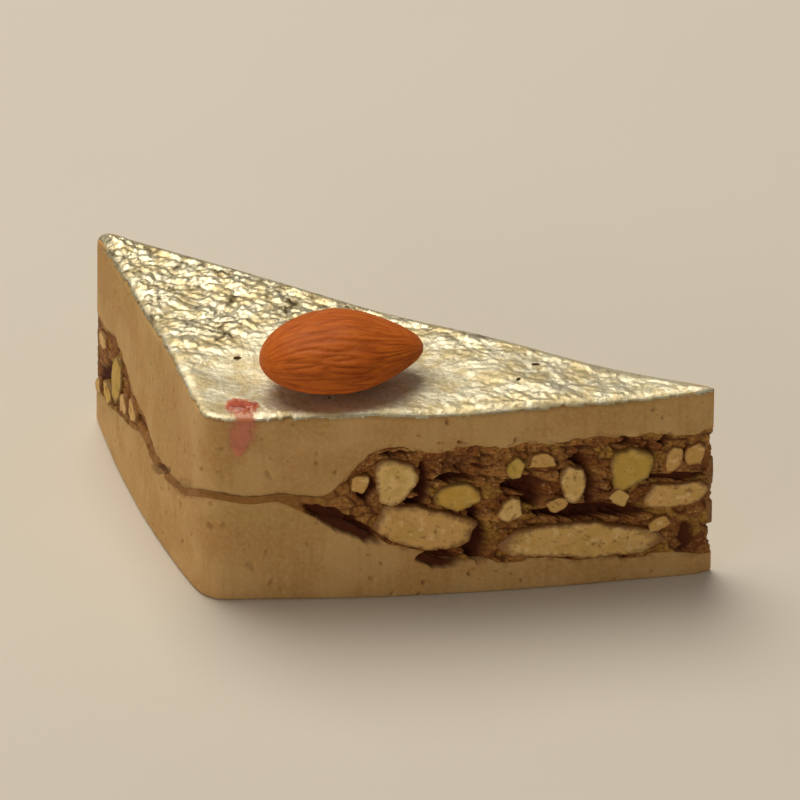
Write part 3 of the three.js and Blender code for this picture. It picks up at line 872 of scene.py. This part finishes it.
def leaf_facets(x, y, spots):
    """The distance from the creases for each size of facet, as a share of that size."""
    along = 0.86 * x - 0.51 * y + 0.9 * lumps(spots, 5, 60)
    across = 0.51 * x + 0.86 * y + 0.9 * lumps(spots, 4, 61)
    return [np.minimum(broken(along, across, size, 10 + number).edge / min(size), 0.8)
            for number, (size, _) in enumerate(FACETS)]


def leaf_relief(x, y, spots):
    """Facets and folds of the leaf, above the flat sheet."""
    facets = sum(height * found for found, (_, height) in zip(leaf_facets(x, y, spots), FACETS))
    fold = 1 - np.abs(np.sin(0.21 * x + 0.38 * y + 0.8 * np.sin(0.17 * x)))
    pressed = 1 - 0.85 * np.exp(-(((x - ALMOND_SPOT[0]) / 6) ** 2) - ((y - ALMOND_SPOT[1]) / 4.5) ** 2)
    swell = 0.07 * fold + 0.05 * (1 + lumps(spots, 5, 63))
    return pressed * (swell + crumple_share(x, y, spots) * facets)


def leaf_levels(x, y, inside):
    """The height of the leaf's underside: the top, its soft edge, folds and creases."""
    toward_edge = np.clip(EDGE_ROUND - inside, 0, EDGE_ROUND)
    drop = EDGE_ROUND - np.sqrt(EDGE_ROUND**2 - toward_edge**2)
    relief = leaf_relief(x, y, laid_flat(x, y))
    return top_at(x, y) - 0.6 * drop + 0.03 + smooth(inside, 0.2, 1.4) * relief


# %% The leaf as a sheet over a grid
def leaf():
    x_line, y_line = (np.arange(OUTLINE[:, k].min(), OUTLINE[:, k].max() + LEAF_CELL, LEAF_CELL)
                      for k in (0, 1))
    x, y = grid(x_line, y_line)
    away, out = nearest_cut(np.column_stack([x, y]))
    spots = laid_flat(x, y)
    rim = 0.12 + 0.2 * lumps(spots, 2.3, 65) + 0.14 * lumps(spots, 0.7, 66)
    rim += 1.0 * smooth(lumps(spots, 6, 67), 0.66, 0.9)
    inside = -away - np.maximum(rim, 0.04)
    torn = lumps(spots, 2.8, 68) + 0.45 * lumps(spots, 0.8, 69)
    inside = np.where(torn > 1.08, np.minimum(inside, -1), inside)
    good = (inside > -0.5 * LEAF_CELL).reshape(len(x_line), len(y_line))
    back_in = np.where(inside > -LEAF_CELL, np.maximum(-inside, 0), 0)
    x, y = x - out[:, 0] * back_in, y - out[:, 1] * back_in
    under = np.column_stack([x, y, leaf_levels(x, y, -away + back_in)])
    points, faces, used = sheet(under, under + np.array([0, 0, LEAF_THICK]), good)
    crumpled = crumple_share(x, y, spots)[used]
    wide, narrow = leaf_facets(x, y, spots)[:2]
    crease = np.maximum(1 - smooth(wide, 0.02, 0.14), 0.7 - 0.7 * smooth(narrow, 0.02, 0.16))[used]
    made = piece("silver_leaf_sheet", points, faces, crumpled=np.tile(crumpled, 2),
                 crease=np.tile(crease, 2))
    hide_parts("silver_leaf")
    return made


silver_sheet = leaf()

# %% [markdown]
# ## The almond
#
# A whole almond in its skin lies on its flatter side, round at one end and pointed at the other. Its
# skin has shrunk into fine ridges that run from end to end. The body is lofted along its length from
# rings as wide as the solid's, and noise stretched lengthwise and folded into ridges gives the
# wrinkles. They only go inwards, so the almond keeps its size.

# %% The almond's body and wrinkles
ALMOND_LENGTH, ALMOND_WIDTH, ALMOND_HEIGHT = 19.2, 13.4, 7.7
ALMOND_AROUND, ALMOND_RINGS = 220, 130
ALMOND_UPPER = 0.62  # how much of the height is above its widest line
ALMOND_TURN = math.radians(6)


def whole_almond():
    angle = np.linspace(0, 2 * math.pi, ALMOND_AROUND, endpoint=False)
    rings, grooves = [], []
    for tip in np.linspace(0.02, math.pi - 0.02, ALMOND_RINGS):
        x = -math.cos(tip)
        girth = math.sin(tip) * (1 - 0.2 * smooth(x, 0, 1) - 0.04 * x)
        y, z = girth * np.cos(angle), girth * np.sin(angle)
        wound = np.column_stack([np.full(len(angle), 1.3 * x),
                                 np.cos(angle) * 2.2, np.sin(angle) * 2.2])
        wound[:, 1:] += 0.12 * math.sin(3 * x)
        ridge = np.abs(lumps(wound, (0.9, 0.34, 0.34), 70))
        fine = np.abs(lumps(wound, (0.6, 0.15, 0.15), 71))
        groove = np.clip(1 - 2.4 * ridge, 0, 1) ** 1.6 * 0.75 + 0.25 * np.clip(1 - 2 * fine, 0, 1)
        fade = 0.35 + 0.65 * math.sin(tip)
        z = z * (1 - 0.12 * smooth(x, 0, 1))
        z = np.where(z > 0, ALMOND_UPPER * z, (1 - ALMOND_UPPER) * z) * ALMOND_HEIGHT
        y = y * ALMOND_WIDTH / 2
        shrink = 1 - 0.045 * groove * fade
        length = np.full(len(angle), x * ALMOND_LENGTH / 2)
        rings.append(np.column_stack([length, y * shrink, z * shrink]))
        grooves.append(groove)
    points, faces = lofted(np.array(rings))
    faces = [face[::-1] for face in faces]
    points[:, 2] += (1 - ALMOND_UPPER) * ALMOND_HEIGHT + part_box("almond")[0].z / MM
    turned = points.copy()
    turned[:, 0] = points[:, 0] * math.cos(ALMOND_TURN) - points[:, 1] * math.sin(ALMOND_TURN)
    turned[:, 1] = points[:, 0] * math.sin(ALMOND_TURN) + points[:, 1] * math.cos(ALMOND_TURN)
    turned[:, :2] += ALMOND_SPOT
    made = piece("whole_almond", turned, faces, groove=np.append(np.concatenate(grooves), [0, 0]))
    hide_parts("almond")
    return made


almond = whole_almond()

# %% [markdown]
# ## The dab of saffron red
#
# Saffron steeped in syrup is dabbed on beside the square corner. It spreads over the leaf as a low
# wet patch, and a little has run over the edge and down the front cut. Both are one thin sheet that
# follows the top, turns over the soft edge and goes down the cut, thick in the middle of the patch
# and thin in the run.

# %% The wet patch and its run down the cut
DAB_ALONG, DAB_IN = 4.4, 2.4  # its middle, from the square corner and from the front cut
DAB_HALF, RUN_HALF = (2.2, 2.1), 1.75  # half the width and depth of the patch, and of the run
RUN_DOWN = 4.2  # how far the run reaches below the soft edge
FILM, POOL = 0.12, 0.34  # how thick the run and the patch are
DAB_CELL = 0.09
OVER_EDGE = EDGE_ROUND * math.pi / 2
front_edge = OUTLINE[ON_FRONT][np.argsort(OUTLINE[ON_FRONT][:, 0])]


def surface_under_dab(along, way):
    """A point of the piece's skin beside the corner: way is 0 at the edge, and grows inwards on the
    top and falls below 0 down the cut. Gives the point and the direction out of the skin."""
    turn = np.clip((OVER_EDGE - way) / OVER_EDGE, 0, 1) * math.pi / 2
    inside = np.where(way > OVER_EDGE, way - OVER_EDGE + EDGE_ROUND, EDGE_ROUND * (1 - np.sin(turn)))
    edge_y = np.interp(along, front_edge[:, 0], front_edge[:, 1])
    x, y = along, edge_y + inside
    bare = top_at(x, y) - EDGE_ROUND * (1 - np.cos(turn)) + np.minimum(way, 0)
    over_leaf = leaf_levels(x, y, inside) + LEAF_THICK + 0.02
    level = np.where(way > 0.2, np.maximum(bare, over_leaf), bare)
    out = np.column_stack([FRONT.out[0] * np.sin(turn), FRONT.out[1] * np.sin(turn), np.cos(turn)])
    return np.column_stack([x, y, level]), out


def wet_dab():
    alongs = np.arange(DAB_ALONG - 2.8, DAB_ALONG + 2.8, DAB_CELL)
    ways = np.arange(-RUN_DOWN - 1, OVER_EDGE + DAB_IN + 2, DAB_CELL)
    along, way = grid(alongs, ways)
    spots = laid_flat(along, way)
    ragged = 0.34 * lumps(spots, 1.3, 80) + 0.16 * lumps(spots, 0.5, 81)
    middle_way = OVER_EDGE + DAB_IN - EDGE_ROUND
    from_middle = np.hypot((along - DAB_ALONG) / DAB_HALF[0], (way - middle_way) / DAB_HALF[1])
    patch = 1 - from_middle + ragged
    tongue = np.sqrt(np.clip(1 - (np.minimum(way, 0) / RUN_DOWN) ** 2, 0, 1))
    aside = np.abs(along - DAB_ALONG - 0.15 * way)
    run = 1 - aside / np.maximum(RUN_HALF * tongue, 0.05) + 0.8 * ragged
    run = np.where((way < middle_way) & (way > -RUN_DOWN), run, -1)
    good = (np.maximum(run, patch) > 0).reshape(len(alongs), len(ways))
    skin, out = surface_under_dab(along, way)
    thick = 0.02 + np.maximum(FILM * smooth(run, 0, 0.75), POOL * smooth(patch, 0.05, 0.7))
    points, faces, used = sheet(skin - 0.06 * out, skin + thick[:, None] * out, good)
    made = piece("saffron_syrup", points, faces, depth=np.tile(thick[used], 2))
    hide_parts("saffron_dab")
    return made


saffron_syrup = wet_dab()

# %% [markdown]
# ## Finishes: sums that read as sums
#
# A finish is a tree of nodes. Wiring nodes by hand hides what is meant, so one small class wraps a
# socket: adding or multiplying it adds the Math node for it, and 1 - mask works as it reads. Any
# other node comes from one method that sets its settings first and then its sockets. A colour is
# built up like paint: a first coat, and then others over it, each with how much of it shows.


# %% The class for a socket, and the one for a finish
def operator(operation, other_first=False):
    """An operator for sockets, which adds the Math node that it stands for."""
    def apply(self, other):
        pair = (other, self) if other_first else (self, other)
        return self.finish.math(operation, *pair)
    return apply


class Term:
    """A socket of a finish, used in sums."""

    def __init__(self, finish, socket):
        self.finish, self.socket = finish, socket

    __add__, __radd__ = operator("ADD"), operator("ADD", True)
    __sub__, __rsub__ = operator("SUBTRACT"), operator("SUBTRACT", True)
    __mul__, __rmul__ = operator("MULTIPLY"), operator("MULTIPLY", True)


class Finish:
    """A material in the making, with the object's own place in millimetres."""

    def __init__(self, name):
        self.material = bpy.data.materials.new(name)
        self.material.use_nodes = True
        self.tree = self.material.node_tree
        self.shader = self.tree.nodes["Principled BSDF"]
        place = self.node("TexCoord", {}, {}, "Object")
        self.place = self.node("VectorMath", {"operation": "SCALE"}, {0: place, 3: 1 / MM})

    def node(self, kind, settings, sockets, output=0):
        made = self.tree.nodes.new("ShaderNode" + kind)
        for name, value in settings.items():
            setattr(made, name, value)
        for name, value in sockets.items():
            self.join(made.inputs[name], value)
        return Term(self, made.outputs[output])

    def join(self, socket, value):
        if isinstance(value, Term):
            self.tree.links.new(value.socket, socket)
        else:
            socket.default_value = value

    def math(self, operation, first, second):
        return self.node("Math", {"operation": operation}, {0: first, 1: second})

    def between(self, value, start, end):
        """0 below start, 1 above end, and smooth in between."""
        return self.node("MapRange", {"interpolation_type": "SMOOTHSTEP"},
                         {"Value": value, "From Min": start, "From Max": end})

    def mixed(self, share, first, second):
        """A colour between two, by a share. Each is a socket, or red, green and blue to 255."""
        first, second = (end if isinstance(end, Term) else tone(*end) for end in (first, second))
        return self.node("Mix", {"data_type": "RGBA"}, {0: share, 6: first, 7: second}, 2)

    def painted(self, colour, *coats):
        """A colour with coats over it in turn, each given by how much of it shows and its colour."""
        for share, coat in coats:
            colour = self.mixed(share, colour, coat)
        return colour

    def stretched(self, x, y, z):
        return self.node("VectorMath", {"operation": "MULTIPLY"}, {0: self.place, 1: (x, y, z)})

    def noise(self, size, detail=3.0, rough=0.5, vector=None):
        """Noise from 0 to 1 in spots of about this size, in millimetres."""
        return self.node("TexNoise", {}, {"Vector": vector or self.place, "Scale": 1 / size,
                                          "Detail": detail, "Roughness": rough})

    def patches(self, size, start, end, detail=3.0, rough=0.5, vector=None):
        """Noise as patches of about this size, bare below start and full above end."""
        return self.between(self.noise(size, detail, rough, vector), start, end)

    def stored(self, name):
        return self.node("Attribute", {"attribute_name": name}, {}, "Fac")

    def bump(self, height, depth, strength, below=None):
        """Relief too fine for the mesh, as deep as this, in millimetres."""
        sockets = {"Height": height, "Distance": depth * MM, "Strength": strength}
        if below is not None:
            sockets["Normal"] = below
        return self.node("Bump", {}, sockets)

    def wears(self, *objects, **sockets):
        for name, value in sockets.items():
            self.join(self.shader.inputs[name.replace("_", " ")], value)
        for thing in objects:
            thing.data.materials.clear()
            thing.data.materials.append(self.material)
        print("finish:", self.material.name, "on", ", ".join(thing.name for thing in objects))


def tone(red, green, blue):
    """A colour as a colour picker shows it, made linear for the shader."""
    parts = (value / 255 for value in (red, green, blue))
    return [p / 12.92 if p <= 0.04045 else ((p + 0.055) / 1.055) ** 2.4 for p in parts] + [1.0]


# %% [markdown]
# ## Cashew layers: matt, creamy and a little see-through
#
# Cashew fudge is the colour of milky caramel, and light goes a little way into it. Its colour is
# mottled in broad soft patches and in fine grain, with a greenish cast here and there from ground
# pistachio. Beside the filling, paste has been smeared on by the knife, which the stored distance
# from the seam shows. Where a hollow of the filling eats into a layer, the layer is painted the
# hollow's dark paste, darkened further as painted shade, which the stored hollow value gives.


# %% The finish of the cashew layers
def cashew_fudge():
    finish = Finish("cashew_fudge")
    grain = finish.noise(0.5, 3, 0.6)
    dragged = finish.stretched(1.1, 1.1, 0.09)
    by_seam = 1 - finish.between(finish.stored("seam"), 0.0, 0.9)
    colour = finish.painted(
        (211, 170, 112),
        (finish.patches(6, 0.35, 0.65, 2), (198, 153, 94)),
        (0.35 * finish.patches(9, 0.5, 0.7, 1), (190, 158, 90)),
        (0.3 * finish.between(grain, 0.4, 0.7), (228, 194, 138)),
        (0.25 * finish.patches(1, 0.5, 0.75, 3, 0.6, dragged), (172, 130, 76)),
        (0.6 * by_seam * finish.patches(1.2, 0.46, 0.66), (140, 94, 44)),
        # where a hollow eats into the layer: dark paste with painted shade over it
        (finish.stored("stain"), (84, 34, 8)),
        (0.5 * finish.patches(0.55, 0.76, 0.8, 1), (150, 112, 60)))
    relief = finish.bump(finish.noise(0.16, 2), 0.02, 0.5, finish.bump(grain, 0.06, 0.6))
    finish.wears(lower_cashew, upper_cashew, Base_Color=colour, Roughness=0.55 + 0.2 * grain,
                 Normal=relief, Subsurface_Weight=0.2, Subsurface_Scale=0.0015,
                 Specular_IOR_Level=0.2)


cashew_fudge()

# %% [markdown]
# ## The filling and its nuts
#
# The bits of the mass are light and dark browns with a few yellow-green ones of pistachio, and the
# paste in the grooves is dark red-brown. In the hollows the paste is darker still, with painted shade
# added to its dark red-brown. The cut nuts are pale and waxy, each in its own tone, darker at the
# rim, where the paste has crept over the edge, and smeared here and there. A pistachio is yellow to
# green, with a reddish skin at the rim.


# %% The finish of the mass
def date_paste():
    finish = Finish("date_paste")
    bit, opened, hollow = (finish.stored(name) for name in ("bit_tone", "opened", "hollow"))
    squeezed = finish.stretched(1.1, 0.9, 1.3)
    dark = finish.stored("groove") * finish.patches(2.2, 0.25, 0.5, 2) * (0.3 + 0.7 * opened)
    # the hollows: dark red-brown paste, darkened further as painted shade
    deep = finish.mixed(finish.noise(1.5, 2), (60, 20, 4), (92, 38, 8))
    colour = finish.painted(
        (150, 88, 36),
        (bit, (214, 156, 82)),
        (0.7 * finish.between(bit, 0.84, 0.86), (196, 154, 62)),
        (0.55 * finish.stored("crumb_tone"), (132, 76, 30)),
        (0.6 * finish.patches(0.42, 0.5, 0.6, 4, 0.7), (104, 54, 20)),
        (0.55 * finish.patches(0.6, 0.56, 0.64, 3, 0.7, squeezed), (226, 184, 120)),
        (1 - opened, (166, 116, 58)),
        (0.9 * dark, (80, 32, 8)),
        (finish.between(hollow, 0.0, 0.8), deep))
    finish.wears(sticky_paste, Base_Color=colour, Roughness=0.62 + 0.1 * hollow,
                 Normal=finish.bump(finish.noise(0.4, 4, 0.7), 0.16, 0.9), Specular_IOR_Level=0.2)


date_paste()


# %% The finishes of the cut nuts
def waxy(finish, nuts_of_a_kind, colour, *coats):
    """What both kinds share: a waxy face with a fine grain, which light goes a little way into."""
    finish.wears(nuts_of_a_kind, Base_Color=finish.painted(colour, *coats),
                 Roughness=0.42 + 0.2 * finish.noise(0.6, 2),
                 Normal=finish.bump(finish.noise(0.3, 3), 0.04, 0.6),
                 Subsurface_Weight=0.12, Subsurface_Scale=0.001)


def cut_cashew():
    finish = Finish("cut_cashew")
    cleft = 1 - finish.between(finish.stored("cleft"), 0.03, 0.12)
    rim = finish.between(finish.stored("rim") + 0.5 * finish.noise(1.0, 3, 0.6), 1.0, 1.3)
    waxy(finish, chopped_cashew,
         (208, 148, 66),
         (finish.stored("colour"), (248, 208, 132)),
         (0.6 * finish.patches(2.4, 0.42, 0.66), (214, 172, 80)),
         (0.2 * cleft * finish.patches(2.5, 0.45, 0.6, 1), (160, 112, 58)),
         (0.7 * finish.patches(0.9, 0.55, 0.7, 4, 0.6), (140, 84, 34)),
         (0.5 * finish.patches(1.1, 0.56, 0.66, 2), (252, 222, 158)),
         (0.8 * rim, (122, 70, 26)))


def cut_pistachio():
    finish = Finish("cut_pistachio")
    rim = finish.between(finish.stored("rim") + 0.3 * finish.noise(1.0, 2), 0.9, 1.2)
    skin = finish.mixed(finish.noise(1.5, 2), (122, 96, 34), (112, 62, 40))
    waxy(finish, chopped_pistachio,
         (222, 172, 66),
         (finish.stored("colour"), (198, 166, 60)),
         (0.6 * finish.patches(1.4, 0.45, 0.7), (230, 192, 104)),
         (0.55 * finish.patches(0.9, 0.57, 0.7, 4, 0.6), (128, 92, 36)),
         (0.8 * rim, skin))


cut_cashew()
cut_pistachio()

# %% [markdown]
# ## Silver leaf
#
# The leaf is metal, but so thin that the sweet shows through it as a warm cast, and dulled by sugar.
# So it is metallic only in part, more where it is crumpled and stands clear of the sweet. The stored
# distance from the creases darkens them here and there. Fine crackle too small for the mesh is left
# to a bump.


# %% The finish of the leaf
def beaten_silver():
    finish = Finish("beaten_silver")
    crumpled = finish.stored("crumpled")
    thin = finish.patches(2.6, 0.42, 0.62, 4, 0.6)
    specks = finish.patches(0.75, 0.5, 0.66, 4, 0.7) * (0.2 + 0.55 * crumpled)
    crease = finish.stored("crease") * finish.patches(3, 0.4, 0.6, 2)
    colour = finish.painted((228, 222, 196), (thin, (212, 196, 152)), (specks, (124, 110, 70)),
                            (crease * finish.between(crumpled, 0.3, 0.8), (92, 78, 46)))
    finish.wears(silver_sheet, Base_Color=colour, Metallic=0.45 + 0.4 * crumpled - 0.2 * thin,
                 Roughness=0.26 + 0.2 * finish.noise(1.1, 3),
                 Normal=finish.bump(finish.noise(0.5, 4, 0.7), 0.12, 0.7))


beaten_silver()

# %% [markdown]
# ## Almond skin and saffron syrup
#
# Almond skin is a dry, dusty orange brown, darker in its grooves. The syrup is clear and red: deep
# where it is thick and pink where it is a thin film, which the stored depth gives.


# %% The finishes of the almond and the syrup
def almond_skin():
    finish = Finish("almond_skin")
    dust = finish.patches(0.5, 0.5, 0.75, 4, 0.7)
    streaks = finish.patches(1, 0.35, 0.68, 4, 0.6, finish.stretched(0.25, 1.4, 1.4))
    colour = finish.painted((214, 110, 24), (streaks, (196, 92, 16)),
                            (0.55 * finish.stored("groove"), (146, 64, 10)),
                            (0.14 * dust, (224, 146, 70)))
    finish.wears(almond, Base_Color=colour, Roughness=0.55 + 0.2 * dust, Specular_IOR_Level=0.25,
                 Normal=finish.bump(finish.noise(0.35, 4, 0.6), 0.08, 0.7))


def red_syrup():
    finish = Finish("red_syrup")
    depth = finish.stored("depth")
    thick = finish.between(depth, 0.03, 0.32)
    threads = 0.7 * finish.patches(0.9, 0.5, 0.62) * thick
    colour = finish.painted((240, 156, 116), (thick, (208, 84, 54)), (threads, (156, 40, 28)))
    finish.wears(saffron_syrup, Base_Color=colour, Roughness=0.3, Coat_Weight=0.25,
                 Alpha=0.12 + 0.68 * finish.between(depth, 0.02, 0.16))


almond_skin()
red_syrup()

# %% [markdown]
# ## Floor, light and camera
#
# The sweet lies on a plain pale floor under one broad warm light from above and behind, and a weaker
# one from the left. So the leaf is bright, the left cut less, and the front cut the least. A long
# lens far away gives the flat perspective of a shop's picture.

# %% The stage
VIEW_AZIMUTH, VIEW_ELEVATION = math.radians(-5.5), math.radians(35)
VIEW_DISTANCE, VIEW_WIDTH = 1.2, 0.094


def floor():
    half = 3.0
    corners = [(-half, -half, 0), (half, -half, 0), (half, half, 0), (-half, half, 0)]
    mesh = bpy.data.meshes.new("floor")
    mesh.from_pydata(corners, [], [(0, 1, 2, 3)])
    made = placed("floor", mesh)
    finish = Finish("pale_floor")
    colour = finish.mixed(finish.noise(40, 2), (230, 225, 216), (226, 220, 210))
    finish.wears(made, Base_Color=colour, Roughness=0.7)


def aimed(made, where, toward):
    """Turn a lamp or the camera, so that it looks from its place along a direction."""
    made.location = where
    made.rotation_euler = toward.to_track_quat("-Z", "Y").to_euler()


def lamp(name, where, size, power, colour):
    light = bpy.data.lights.new(name, "AREA")
    light.shape, light.size, light.energy, light.color = "DISK", size, power, colour
    aimed(placed(name, light), where, -Vector(where))


def sky(strength, colour):
    world = bpy.data.worlds.new("soft_room")
    world.use_nodes = True
    background = world.node_tree.nodes["Background"].inputs
    background["Color"].default_value, background["Strength"].default_value = colour, strength
    bpy.context.scene.world = world


def camera():
    low, high = SOLIDS_BOX
    target = Vector(((low.x + high.x) / 2, (low.y + high.y) / 2, 0.4 * high.z))
    back = Vector((math.sin(VIEW_AZIMUTH) * math.cos(VIEW_ELEVATION),
                   -math.cos(VIEW_AZIMUTH) * math.cos(VIEW_ELEVATION), math.sin(VIEW_ELEVATION)))
    lens = bpy.data.cameras.new("camera")
    lens.lens = lens.sensor_width * VIEW_DISTANCE / VIEW_WIDTH
    made = placed("camera", lens)
    aimed(made, target + VIEW_DISTANCE * back, -back)
    bpy.context.scene.camera = made


floor()
lamp("key_light", (-0.22, 0.42, 1.0), 0.9, 9.2, (1.0, 0.91, 0.76))
lamp("side_light", (-0.8, -0.7, 0.35), 0.8, 1.7, (1.0, 0.9, 0.76))
sky(0.16, (1.0, 0.94, 0.84, 1))
camera()
bpy.context.scene.view_settings.view_transform = "Standard"
